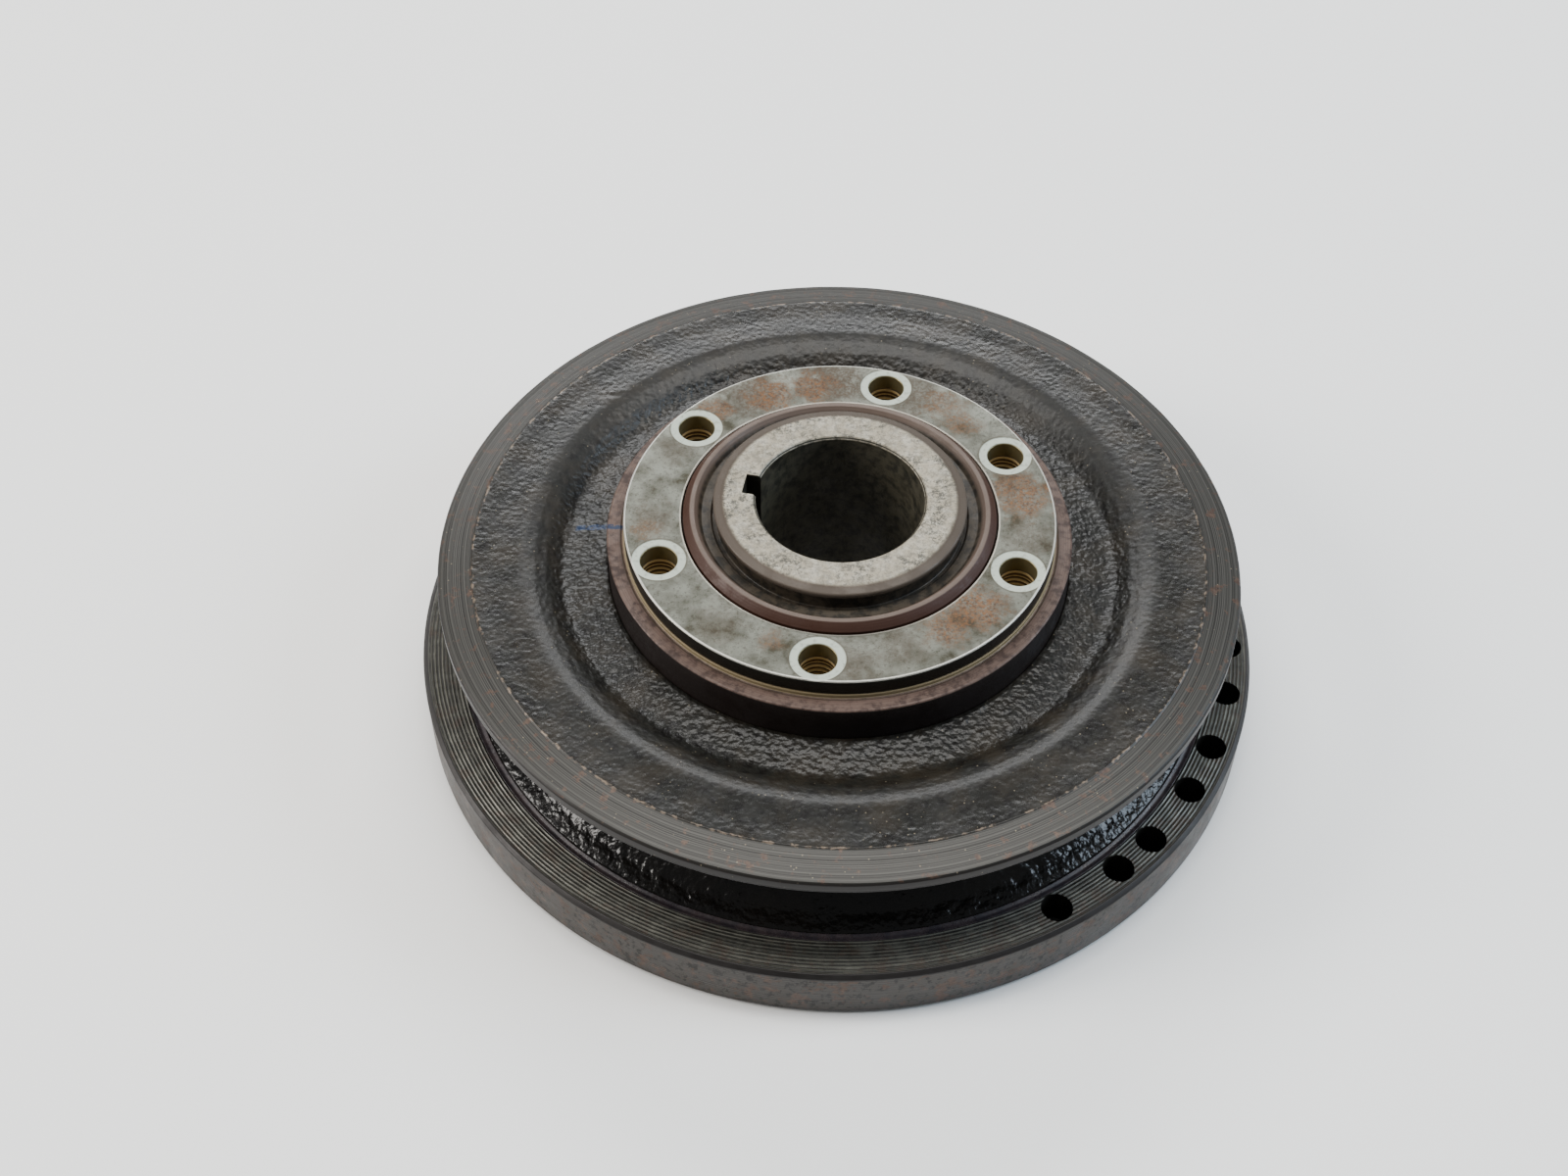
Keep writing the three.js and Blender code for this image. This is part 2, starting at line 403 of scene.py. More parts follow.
class Sheet:
    """Adds nodes to a node tree. A value may be a number, a tuple or another socket."""

    def __init__(self, tree):
        self.tree = tree

    def put(self, socket, value):
        if isinstance(value, bpy.types.NodeSocket):
            self.tree.links.new(value, socket)
        elif value is not None:
            socket.default_value = value

    def add(self, kind, inputs=None, **settings):
        node = self.tree.nodes.new(kind)
        for key, value in settings.items():
            setattr(node, key, value)
        for key, value in (inputs or {}).items():
            self.put(node.inputs[key], value)
        return node

    def math(self, operation, first, second=None, third=None, clamp=False):
        node = self.add("ShaderNodeMath", operation=operation, use_clamp=clamp)
        for socket, value in zip(node.inputs, (first, second, third)):
            self.put(socket, value)
        return node.outputs[0]

    def times(self, first, *others):
        for other in others:
            first = self.math("MULTIPLY", first, other)
        return first

    def scaled(self, value, by, plus):
        return self.math("MULTIPLY_ADD", value, by, plus)

    def vector(self, operation, first, second=None, scale=None):
        node = self.add("ShaderNodeVectorMath", operation=operation)
        self.put(node.inputs[0], first)
        self.put(node.inputs[1], second)
        if scale is not None:
            self.put(node.inputs["Scale"], scale)
        return node.outputs["Value"] if operation in ("LENGTH", "DISTANCE") else node.outputs[0]

    def blend(self, share, first, second, kind="MIX"):
        node = self.add("ShaderNodeMix", data_type="RGBA", blend_type=kind)
        self.put(node.inputs[0], share)
        self.put(node.inputs[6], rgba(first))
        self.put(node.inputs[7], rgba(second))
        return node.outputs[2]

    def mix(self, share, first, second):
        node = self.add("ShaderNodeMix", data_type="FLOAT")
        self.put(node.inputs[0], share)
        self.put(node.inputs[2], first)
        self.put(node.inputs[3], second)
        return node.outputs[0]

    def between(self, value, low, high):
        """0 at low, 1 at high, with a soft start and end."""
        node = self.add("ShaderNodeMapRange", interpolation_type="SMOOTHSTEP")
        self.put(node.inputs["Value"], value)
        self.put(node.inputs["From Min"], low)
        self.put(node.inputs["From Max"], high)
        return node.outputs["Result"]

    def noise(self, place, scale, detail=3.0, roughness=0.5, distortion=0.0):
        return self.add(
            "ShaderNodeTexNoise",
            {
                "Vector": place,
                "Scale": scale,
                "Detail": detail,
                "Roughness": roughness,
                "Distortion": distortion,
            },
        ).outputs[0]

    def group(self, name, **inputs):
        node = self.tree.nodes.new("ShaderNodeGroup")
        node.node_tree = bpy.data.node_groups[name]
        for key, value in inputs.items():
            self.put(node.inputs[key.replace("_", " ")], value)
        return node.outputs

    def band(self, value, low, high, softness):
        """1 between two limits, by the shared soft band."""
        inputs = {"Value": value, "From": low, "To": high, "Softness": softness}
        return self.group("Soft Band", **inputs)["Mask"]


def rgba(value):
    if isinstance(value, bpy.types.NodeSocket) or value is None:
        return value
    value = tuple(value)
    return value if len(value) == 4 else (*value, 1.0)


def new_group(name, inputs, outputs):
    """A shader node group with named sockets. Returns its sheet, its input and output nodes."""
    tree = bpy.data.node_groups.new(name, "ShaderNodeTree")
    for label, kind, default in inputs:
        socket = tree.interface.new_socket(name=label, in_out="INPUT", socket_type=kind)
        if default is not None:
            socket.default_value = default
    for label, kind in outputs:
        tree.interface.new_socket(name=label, in_out="OUTPUT", socket_type=kind)
    sheet = Sheet(tree)
    entry = sheet.add("NodeGroupInput").outputs
    leave = sheet.add("NodeGroupOutput").inputs
    return sheet, entry, leave


NUMBER = "NodeSocketFloat"
VECTOR = "NodeSocketVector"
COLOUR = "NodeSocketColor"


def build_place_group():
    """Object position in millimetres, with its distance from the axis and its height."""
    sheet, entry, leave = new_group(
        "Turned Place",
        [("Position", VECTOR, None)],
        [("Place", VECTOR), ("Radius", NUMBER), ("Height", NUMBER)],
    )
    place = sheet.vector("SCALE", entry["Position"], scale=1000.0)
    parts = sheet.add("ShaderNodeSeparateXYZ", {"Vector": place}).outputs
    flat = sheet.add("ShaderNodeCombineXYZ", {"X": parts["X"], "Y": parts["Y"]}).outputs[0]
    sheet.put(leave["Place"], place)
    sheet.put(leave["Radius"], sheet.vector("LENGTH", flat))
    sheet.put(leave["Height"], parts["Z"])


def build_band_group():
    """1 where a value lies between two limits, with soft and uneven edges."""
    sheet, entry, leave = new_group(
        "Soft Band",
        [
            ("Value", NUMBER, 0.0),
            ("From", NUMBER, 0.0),
            ("To", NUMBER, 1.0),
            ("Softness", NUMBER, 0.2),
        ],
        [("Mask", NUMBER)],
    )
    half = sheet.times(entry["Softness"], 0.5)
    rise = sheet.between(
        entry["Value"],
        sheet.math("SUBTRACT", entry["From"], half),
        sheet.math("ADD", entry["From"], half),
    )
    fall = sheet.between(
        entry["Value"],
        sheet.math("SUBTRACT", entry["To"], half),
        sheet.math("ADD", entry["To"], half),
    )
    sheet.put(leave["Mask"], sheet.math("SUBTRACT", rise, fall, clamp=True))


def build_stain_group():
    """A ragged round stain at a place."""
    sheet, entry, leave = new_group(
        "Ragged Stain",
        [
            ("Place", VECTOR, None),
            ("Centre", VECTOR, None),
            ("Size", NUMBER, 4.0),
            ("Strength", NUMBER, 1.0),
        ],
        [("Mask", NUMBER)],
    )
    distance = sheet.vector("DISTANCE", entry["Place"], entry["Centre"])
    share = sheet.math("DIVIDE", distance, entry["Size"])
    coarse = sheet.noise(entry["Place"], 0.35, detail=5.0, roughness=0.65)
    ragged = sheet.math("ADD", share, sheet.scaled(coarse, 2.4, -1.2))
    mask = sheet.between(ragged, 1.35, 0.45)
    fine = sheet.between(sheet.noise(entry["Place"], 2.2, detail=4.0), 0.35, 0.62)
    mask = sheet.times(mask, sheet.scaled(fine, 0.6, 0.4))
    sheet.put(leave["Mask"], sheet.times(mask, entry["Strength"]))


def build_turning_group():
    """Concentric tool marks. Line is the light and dark of each mark, Height its relief."""
    sheet, entry, leave = new_group(
        "Turning Lines",
        [("Place", VECTOR, None), ("Across", NUMBER, 0.0), ("Pitch", NUMBER, 0.3)],
        [("Height", NUMBER), ("Line", NUMBER)],
    )
    steps = sheet.math("DIVIDE", entry["Across"], entry["Pitch"])
    drift = sheet.times(sheet.noise(entry["Place"], 0.05, detail=1.0), 1.5)
    along = sheet.add(
        "ShaderNodeTexNoise",
        {"W": sheet.math("ADD", steps, drift), "Scale": 1.0, "Detail": 2.0},
        noise_dimensions="1D",
    ).outputs[0]
    broken = sheet.between(sheet.noise(entry["Place"], 0.22, detail=3.0), 0.3, 0.6)
    sheet.put(leave["Height"], sheet.times(along, sheet.scaled(broken, 0.6, 0.4)))
    sheet.put(leave["Line"], sheet.between(along, 0.36, 0.64))


def build_grain_group():
    """Cast skin: lumps and pits for relief, and sparse bright specks."""
    sheet, entry, leave = new_group(
        "Cast Skin",
        [("Place", VECTOR, None), ("Lump Size", NUMBER, 1.0)],
        [("Height", NUMBER), ("Pits", NUMBER), ("Specks", NUMBER)],
    )
    rate = sheet.math("DIVIDE", 1.0, entry["Lump Size"])
    lumps = sheet.noise(entry["Place"], rate, detail=1.5, roughness=0.4)
    cells = sheet.add(
        "ShaderNodeTexVoronoi",
        {"Vector": entry["Place"], "Scale": sheet.times(rate, 0.9)},
        feature="SMOOTH_F1",
    ).outputs["Distance"]
    sheet.put(leave["Height"], sheet.scaled(cells, 0.55, lumps))
    sheet.put(leave["Pits"], sheet.between(lumps, 0.52, 0.36))
    dots = sheet.add(
        "ShaderNodeTexVoronoi", {"Vector": entry["Place"], "Scale": 0.85}, feature="F1"
    ).outputs["Distance"]
    small = sheet.between(dots, 0.15, 0.07)
    sparse = sheet.between(sheet.noise(entry["Place"], 0.45, detail=2.0), 0.50, 0.60)
    sheet.put(leave["Specks"], sheet.times(small, sparse))


def build_rust_group():
    """Patches of rust: a mask and the rust's own varied colour."""
    sheet, entry, leave = new_group(
        "Rust Patches",
        [
            ("Place", VECTOR, None),
            ("Size", NUMBER, 5.0),
            ("Amount", NUMBER, 0.5),
            ("Light", COLOUR, (0.3, 0.13, 0.05, 1.0)),
            ("Dark", COLOUR, (0.05, 0.025, 0.018, 1.0)),
        ],
        [("Mask", NUMBER), ("Colour", COLOUR)],
    )
    rate = sheet.math("DIVIDE", 1.0, entry["Size"])
    patches = sheet.noise(entry["Place"], rate, detail=6.0, roughness=0.68)
    limit = sheet.scaled(entry["Amount"], -0.4, 0.72)
    mask = sheet.between(patches, limit, sheet.math("ADD", limit, 0.09))
    tone = sheet.noise(entry["Place"], 1.3, detail=4.0)
    shade = sheet.blend(sheet.between(tone, 0.35, 0.65), entry["Dark"], entry["Light"])
    sheet.put(leave["Mask"], mask)
    sheet.put(leave["Colour"], shade)


def build_oil_group():
    """Patchy oil film: 1 where the surface is wet."""
    sheet, entry, leave = new_group(
        "Oil Film",
        [("Place", VECTOR, None), ("Size", NUMBER, 8.0)],
        [("Wet", NUMBER)],
    )
    rate = sheet.math("DIVIDE", 1.0, entry["Size"])
    broad = sheet.noise(entry["Place"], rate, detail=4.0, roughness=0.6, distortion=0.6)
    fine = sheet.noise(entry["Place"], 1.8, detail=2.0)
    total = sheet.scaled(fine, 0.35, broad)
    sheet.put(leave["Wet"], sheet.between(total, 0.55, 0.8))


def build_shared_groups():
    build_place_group()
    build_band_group()
    build_stain_group()
    build_turning_group()
    build_grain_group()
    build_rust_group()
    build_oil_group()


def new_material(name):
    """A material, its sheet, its shader's inputs and the place, radius and height in mm."""
    material = bpy.data.materials.new(name)
    material.use_nodes = True
    material.node_tree.nodes.clear()
    sheet = Sheet(material.node_tree)
    shader = sheet.add("ShaderNodeBsdfPrincipled")
    output = sheet.add("ShaderNodeOutputMaterial")
    sheet.put(output.inputs["Surface"], shader.outputs[0])
    position = sheet.add("ShaderNodeTexCoord").outputs["Object"]
    return material, sheet, shader.inputs, *sheet.group("Turned Place", Position=position)


def layers(sheet, base, *coats):
    """Lays colours over a base, each through its own mask."""
    result = base
    for mask, coat in coats:
        result = sheet.blend(mask, result, coat)
    return result


def relief(sheet, shader, height, distance):
    bump = sheet.add("ShaderNodeBump", {"Strength": 1.0, "Distance": distance, "Height": height})
    sheet.put(shader["Normal"], bump.outputs[0])


def paint_mark(sheet, place, height):
    """Short brush stroke across the lip and the casting, at the left."""
    parts = sheet.add("ShaderNodeSeparateXYZ", {"Vector": place}).outputs
    waver = sheet.noise(place, 0.25, detail=3.0)
    step = sheet.times(sheet.between(height, 36.0, 34.0), 7.0)
    side = sheet.math("ADD", parts["Y"], sheet.scaled(waver, 2.4, -1.2))
    side = sheet.math("SUBTRACT", side, step)
    across = sheet.band(side, -0.45, 0.75, 0.3)
    along = sheet.band(parts["X"], -51.5, -41.2, 0.8)
    dry = sheet.between(sheet.noise(place, 1.4, detail=3.0), 0.3, 0.5)
    return sheet.times(sheet.times(across, along), dry)


# ---------------------------------------------------------------- materials


def casting_material(colours, sizes):
    material, sheet, shader, place, radius, height = new_material("black cast iron")
    band_start = sizes.band / MM
    skin = sheet.group("Cast Skin", Place=place, Lump_Size=2.0)
    fine_skin = sheet.group("Cast Skin", Place=place, Lump_Size=0.95)
    oil = sheet.group("Oil Film", Place=place, Size=9.0)["Wet"]
    lines = sheet.group("Turning Lines", Place=place, Across=radius, Pitch=0.35)
    rust = sheet.group(
        "Rust Patches",
        Place=place,
        Size=2.4,
        Amount=0.42,
        Light=(0.085, 0.052, 0.036, 1.0),
        Dark=rgba(colours.dark_rust),
    )
    front = sheet.between(height, 31.3, 31.6)
    front_face = sheet.between(height, 29.0, 29.4)
    band = sheet.times(sheet.between(radius, band_start - 0.15, band_start + 0.15), front)
    edge_noise = sheet.noise(place, 1.1, detail=3.0)
    edge_here = sheet.scaled(edge_noise, 0.9, radius)
    edge = sheet.band(edge_here, band_start + 0.2, band_start + 0.62, 0.25)
    edge = sheet.times(edge, front)
    edge = sheet.times(edge, sheet.between(sheet.noise(place, 0.7, detail=5.0), 0.48, 0.62))
    edge = sheet.times(edge, 0.5)
    rim = sheet.times(sheet.between(radius, 76.9, 77.1), sheet.between(height, 30.9, 31.1))
    groove = sheet.times(sheet.between(height, 31.2, 30.9), sheet.between(radius, 63.0, 63.6))

    dark = sheet.blend(skin["Pits"], colours.casting, (0.004, 0.0035, 0.003))
    dusty = sheet.between(sheet.noise(place, 0.12, detail=5.0, roughness=0.6), 0.4, 0.7)
    dark = sheet.blend(sheet.times(dusty, 0.5), dark, (0.026, 0.020, 0.013))
    band_tone = sheet.blend(lines["Line"], colours.turned_band, (0.050, 0.048, 0.043))
    band_rust = sheet.times(rust["Mask"], 0.7)
    band_colour = sheet.blend(band_rust, band_tone, rust["Colour"])
    base = layers(
        sheet,
        dark,
        (band, band_colour),
        (rim, (0.012, 0.010, 0.009)),
        (sheet.times(groove, 0.85), (0.004, 0.0034, 0.003)),
        (sheet.times(fine_skin["Specks"], sheet.times(front, 0.7)), (0.19, 0.16, 0.11)),
        (edge, (0.24, 0.18, 0.13)),
        (paint_mark(sheet, place, height), colours.paint),
    )
    sheet.put(shader["Base Color"], base)
    roughness = sheet.mix(oil, 0.31, 0.25)
    dish = sheet.times(sheet.between(radius, 57.0, 54.0), front_face)
    rise = sheet.band(radius, 53.5, 61.5, 1.5)
    roughness = sheet.mix(dish, roughness, 0.33)
    roughness = sheet.mix(sheet.times(rise, front_face), roughness, 0.36)
    roughness = sheet.mix(band, roughness, 0.40)
    roughness = sheet.mix(groove, roughness, 0.20)
    sheet.put(shader["Roughness"], roughness)
    sheet.put(shader["Metallic"], sheet.times(band, 0.25))
    shader["Specular IOR Level"].default_value = 0.27
    smooth_band = sheet.math("SUBTRACT", 1.0, band)
    fine_share = sheet.scaled(dish, 0.55, 0.24)
    fine_share = sheet.scaled(groove, 0.32, fine_share)
    grain_height = sheet.times(fine_skin["Height"], fine_share)
    grain_height = sheet.scaled(skin["Height"], 0.05, grain_height)
    grain_height = sheet.times(grain_height, smooth_band)
    line_height = sheet.times(sheet.times(lines["Height"], band), 0.10)
    relief(sheet, shader, sheet.math("ADD", grain_height, line_height), 0.00030)
    return material


def hub_material(colours, sizes):
    material, sheet, shader, place, radius, height = new_material("brown hub steel")
    skin = sheet.group("Cast Skin", Place=place, Lump_Size=0.35)
    oil = sheet.group("Oil Film", Place=place, Size=6.0)["Wet"]
    lines = sheet.group("Turning Lines", Place=place, Across=radius, Pitch=0.3)
    wall_lines = sheet.group("Turning Lines", Place=place, Across=height, Pitch=0.35)
    mottle = sheet.noise(place, 0.5, detail=5.0, roughness=0.65)

    def ring(low, high, soft=0.3):
        return sheet.band(radius, low, high, soft)

    def level(low, high, soft=0.3):
        return sheet.band(height, low, high, soft)

    lip = sheet.blend(lines["Line"], colours.lip, (0.092, 0.060, 0.046))
    lip = sheet.blend(sheet.between(mottle, 0.42, 0.66), lip, (0.028, 0.014, 0.010))
    speckle = sheet.between(sheet.noise(place, 1.1, detail=6.0, roughness=0.8), 0.56, 0.42)
    patches = sheet.between(sheet.noise(place, 0.22, detail=3.0), 0.42, 0.60)
    speckle = sheet.times(speckle, sheet.scaled(patches, 0.50, 0.5))
    face = sheet.blend(sheet.between(mottle, 0.42, 0.66), colours.boss, (0.32, 0.30, 0.245))
    face = sheet.blend(speckle, face, (0.066, 0.062, 0.050))
    stained = sheet.between(mottle, 0.4, 0.65)
    bore_stain = sheet.blend(stained, (0.055, 0.050, 0.034), (0.018, 0.017, 0.012))
    inside_hole = sheet.times(ring(31.0, 40.6, 0.1), level(22.5, 39.86, 0.05))
    climb = sheet.math("SUBTRACT", height, sizes.flange_rear / MM + 0.2)
    turns = sheet.math("DIVIDE", climb, sizes.thread_pitch / MM)
    from_root = sheet.math("ABSOLUTE", sheet.math("SUBTRACT", sheet.math("FRACT", turns), 0.5))
    # Painted shade: the thread roots are painted dark brown against the yellow plating of the
    # crests
    root = sheet.between(from_root, 0.34, 0.16)
    threads = sheet.blend(root, colours.thread, (0.085, 0.050, 0.022))
    # The trench round the boss is brown mottled with the dark oil colour, which also serves as
    # painted shade under the boss
    trench_tone_and_shade = sheet.blend(sheet.between(mottle, 0.40, 0.62), (0.040, 0.031, 0.021), colours.oil)
    base = layers(
        sheet,
        (0.050, 0.036, 0.029),
        # Painted shade: the lip's outer wall, standing above the casting, is painted near black
        (sheet.between(radius, 44.0, 44.3), (0.010, 0.006, 0.005)),
        (sheet.times(ring(40.3, 44.45, 0.1), level(38.9, 40.5, 0.1)), lip),
        # Painted highlight and painted shade: a golden line on the seat step and a dark line in
        # the small groove beside it
        (sheet.times(ring(41.0, 41.75, 0.2), level(39.1, 40.5, 0.1)), (0.20, 0.155, 0.085)),
        (sheet.times(ring(41.75, 42.0, 0.15), level(38.9, 40.5, 0.1)), (0.040, 0.026, 0.018)),
        (sheet.times(ring(28.1, 31.0, 0.2), level(40.0, 46.0)), (0.034, 0.012, 0.006)),
        (sheet.times(ring(26.6, 28.5, 0.3), level(43.9, 46.0)), (0.088, 0.062, 0.048)),
        (sheet.times(ring(22.8, 26.9, 0.5), level(42.0, 45.9, 0.8)), trench_tone_and_shade),
        (sheet.times(ring(21.3, 24.3, 0.9), level(45.8, 48.0)), (0.052, 0.039, 0.028)),
        (sheet.times(ring(15.0, 22.0, 0.9), level(46.7, 48.5)), face),
        (sheet.times(ring(10.0, 16.15, 0.1), level(-1.0, 47.0, 0.3)), bore_stain),
        (sheet.times(ring(16.1, 18.9, 0.1), level(-1.0, 47.5, 0.2)), (0.015, 0.014, 0.010)),
        (inside_hole, threads),
        (paint_mark(sheet, place, height), colours.paint),
    )
    sheet.put(shader["Base Color"], base)
    roughness = sheet.mix(oil, 0.62, 0.45)
    sheet.put(shader["Roughness"], roughness)
    bright = sheet.times(ring(15.9, 22.5, 0.8), level(46.6, 48.5))
    sheet.put(shader["Metallic"], sheet.scaled(bright, 0.30, 0.12))
    shader["Specular IOR Level"].default_value = 0.35
    marks = sheet.math("ADD", lines["Height"], wall_lines["Height"])
    grain = sheet.times(skin["Height"], sheet.scaled(bright, 0.8, 0.2))
    relief(sheet, shader, sheet.scaled(marks, 0.35, grain), 0.00006)
    return material


# Stains on the plate: degrees from +X, radius in mm, size in mm, strength.
ORANGE_STAINS = (
    (8, 35.5, 6.0, 0.85),
    (45, 34.5, 3.6, 0.60),
    (55, 36.5, 4.0, 0.55),
    (187, 37.0, 2.6, 0.5),
    (248, 34.0, 2.6, 0.5),
    (98, 35.0, 4.6, 0.75),
    (112, 34.5, 4.8, 0.85),
    (132, 37.0, 3.4, 0.8),
    (304, 34.0, 4.5, 0.8),
    (316, 34.5, 5.2, 0.9),
)
BROWN_STAINS = (
    (66, 36.0, 6.0, 0.75),
    (92, 36.5, 7.0, 0.85),
    (118, 36.5, 6.0, 0.80),
    (350, 36.5, 5.0, 0.45),
    (84, 34.5, 4.0, 0.5),
    (152, 36.0, 4.0, 0.4),
    (183, 36.0, 4.4, 0.55),
    (231, 35.5, 5.0, 0.3),
    (272, 37.0, 5.0, 0.5),
    (288, 34.5, 4.5, 0.45),
    (322, 37.5, 3.0, 0.5),
)


def plate_material(colours, sizes):
    material, sheet, shader, place, radius, height = new_material("ground plate steel")
    mottle = sheet.noise(place, 0.16, detail=6.0, roughness=0.65)
    fine = sheet.noise(place, 1.6, detail=5.0, roughness=0.7)
    top = sheet.between(height, 43.25, 43.32)
    base = sheet.blend(sheet.between(mottle, 0.40, 0.62), colours.plate, (0.140, 0.143, 0.120))
    base = sheet.blend(sheet.between(mottle, 0.44, 0.32), base, (0.034, 0.031, 0.019))
    freckles = sheet.times(sheet.between(fine, 0.5, 0.68), 0.6)
    base = sheet.blend(freckles, base, (0.034, 0.031, 0.021))

    def stains(places):
        total = None
        for degrees, circle, size, strength in places:
            centre = on_circle(circle, degrees, sizes.top / MM)
            mask = sheet.group(
                "Ragged Stain", Place=place, Centre=centre, Size=size, Strength=strength
            )["Mask"]
            total = mask if total is None else sheet.math("MAXIMUM", total, mask)
        return sheet.times(total, top)

    nearest = None
    flat = sheet.vector("MULTIPLY", place, (1.0, 1.0, 0.0))
    for degrees in BOLT_ANGLES:
        centre = on_circle(sizes.bolt_circle / MM, degrees)
        distance = sheet.vector("DISTANCE", flat, centre)
        nearest = distance if nearest is None else sheet.math("MINIMUM", nearest, distance)
    pale = sheet.band(nearest, 3.5, sizes.ring / MM, 0.12)
    pale = sheet.times(pale, sheet.between(height, 43.2, 43.25))
    worn = sheet.between(sheet.noise(place, 1.1, detail=4.0), 0.30, 0.48)
    pale = sheet.times(pale, sheet.scaled(worn, 0.35, 0.65))
    outline = sheet.band(nearest, sizes.ring / MM, sizes.ring / MM + 0.35, 0.3)
    outline = sheet.times(outline, top)
    hole = sheet.times(sheet.between(nearest, 3.62, 3.5), sheet.between(height, 43.3, 43.2))
    wall = sheet.times(sheet.between(radius, 40.75, 40.9), sheet.between(height, 43.2, 43.0))
    # rim and inner mask the plate's outer and inner top edges, which get painted highlights as
    # bright lines
    rim = sheet.times(sheet.between(radius, 40.65, 40.85), sheet.between(height, 43.0, 43.2))
    inner = sheet.times(sheet.between(radius, 30.55, 30.35), sheet.between(height, 43.0, 43.2))
    inner_wall = sheet.between(radius, 30.3, 30.15)
    inner_wall = sheet.times(inner_wall, sheet.between(height, 43.15, 43.0))
    speckled = sheet.scaled(fine, 0.25, -0.125)
    rust_share = sheet.between(fine, 0.38, 0.62)
    rust_tone = sheet.blend(rust_share, (0.040, 0.018, 0.007), (0.150, 0.066, 0.022))
    base = layers(
        sheet,
        base,
        (stains(BROWN_STAINS), (0.048, 0.031, 0.017)),
        (stains(ORANGE_STAINS), rust_tone),
        (sheet.times(outline, 0.5), (0.060, 0.052, 0.036)),
        (pale, colours.pale_ring),
        (hole, (0.17, 0.145, 0.075)),
        (wall, (0.022, 0.021, 0.017)),
        (inner_wall, (0.020, 0.014, 0.010)),
        # Painted highlights along the plate's outer and inner top edges
        (sheet.times(rim, 0.8), (0.50, 0.49, 0.44)),
        (sheet.times(inner, 0.6), (0.42, 0.39, 0.33)),
    )
    sheet.put(shader["Base Color"], base)
    rust_mask = sheet.math("MAXIMUM", stains(ORANGE_STAINS), stains(BROWN_STAINS))
    rusty = sheet.math("MAXIMUM", rust_mask, pale)
    rough = sheet.math("ADD", sheet.mix(rusty, 0.42, 0.72), speckled)
    sheet.put(shader["Roughness"], rough)
    shader["Specular IOR Level"].default_value = 0.3
    sheet.put(shader["Metallic"], sheet.scaled(rusty, -0.72, 0.75))
    relief(sheet, shader, fine, 0.00003)
    return material


def rubber_material(colours):
    material, sheet, shader, place, *_ = new_material("oily rubber")
    oil = sheet.group("Oil Film", Place=place, Size=5.0)["Wet"]
    tone = sheet.between(sheet.noise(place, 0.4, detail=4.0), 0.35, 0.65)
    sheet.put(shader["Base Color"], sheet.blend(tone, colours.rubber, (0.045, 0.034, 0.036)))
    sheet.put(shader["Roughness"], sheet.mix(oil, 0.42, 0.25))
    relief(sheet, shader, sheet.noise(place, 1.5, detail=3.0), 0.00004)
    return material


def ring_material(colours):
    material, sheet, shader, place, radius, height = new_material("turned ring iron")
    top = sheet.between(height, 11.3, 11.7)
    wall = sheet.between(radius, 82.1, 82.4)
    lines = sheet.group("Turning Lines", Place=place, Across=radius, Pitch=0.4)
    wall_lines = sheet.group("Turning Lines", Place=place, Across=height, Pitch=0.3)
    rust = sheet.group(
        "Rust Patches",
        Place=place,
        Size=2.8,
        Amount=0.5,
        Light=(0.075, 0.043, 0.028, 1.0),
        Dark=rgba(colours.dark_rust),
    )
    mottle = sheet.noise(place, 0.2, detail=5.0, roughness=0.6)
    chamfer = sheet.band(sheet.math("ADD", radius, height), 93.45, 94.1, 0.2)
    chamfer = sheet.times(chamfer, sheet.between(height, 10.0, 10.5))
    foot = sheet.between(height, 2.0, 0.8)
    base = sheet.blend(lines["Line"], colours.ring, (0.15, 0.147, 0.122))
    # Painted shade: the valleys of the turned ridges on the front face are painted dark
    valley_shade = sheet.times(top, sheet.between(height, 11.93, 11.82))
    broken = sheet.between(sheet.noise(place, 0.35, detail=4.0), 0.30, 0.55)
    valley_shade = sheet.times(valley_shade, sheet.scaled(broken, 0.45, 0.5))
    pits = sheet.between(sheet.noise(place, 0.75, detail=5.0, roughness=0.65), 0.52, 0.60)
    cloudy = sheet.between(mottle, 0.35, 0.65)
    side = sheet.blend(cloudy, (0.018, 0.015, 0.013), (0.050, 0.044, 0.039))
    side = sheet.blend(sheet.times(wall_lines["Line"], 0.6), side, (0.055, 0.049, 0.043))
    hole = sheet.times(sheet.between(radius, 74.9, 75.0), sheet.between(height, 11.75, 11.6))
    inside = sheet.times(hole, sheet.between(radius, 81.4, 81.0))
    base = layers(
        sheet,
        base,
        (valley_shade, (0.012, 0.011, 0.009)),
        (wall, side),
        (sheet.times(pits, sheet.scaled(wall, 0.65, 0.25)), (0.006, 0.005, 0.004)),
        (sheet.times(rust["Mask"], sheet.scaled(wall, 0.65, 0.30)), rust["Colour"]),
        (chamfer, (0.012, 0.010, 0.009)),
        (sheet.times(foot, 0.7), (0.020, 0.015, 0.012)),
        (inside, (0.010, 0.009, 0.007)),
    )
    sheet.put(shader["Base Color"], base)
    rough = sheet.mix(cloudy, 0.40, 0.55)
    sheet.put(shader["Roughness"], rough)
    sheet.put(shader["Metallic"], sheet.mix(inside, 0.4, 0.1))
    relief(sheet, shader, sheet.math("ADD", lines["Height"], wall_lines["Height"]), 0.00004)
    return material


# ---------------------------------------------------------------- pieces


class PULLEY_OT_finishes(bpy.types.Operator):
    """Build the shader groups that the materials share"""

    bl_idname = "pulley.finishes"
    bl_label = "Shared finishes"

    def execute(self, context):
        build_shared_groups()
        return {"FINISHED"}


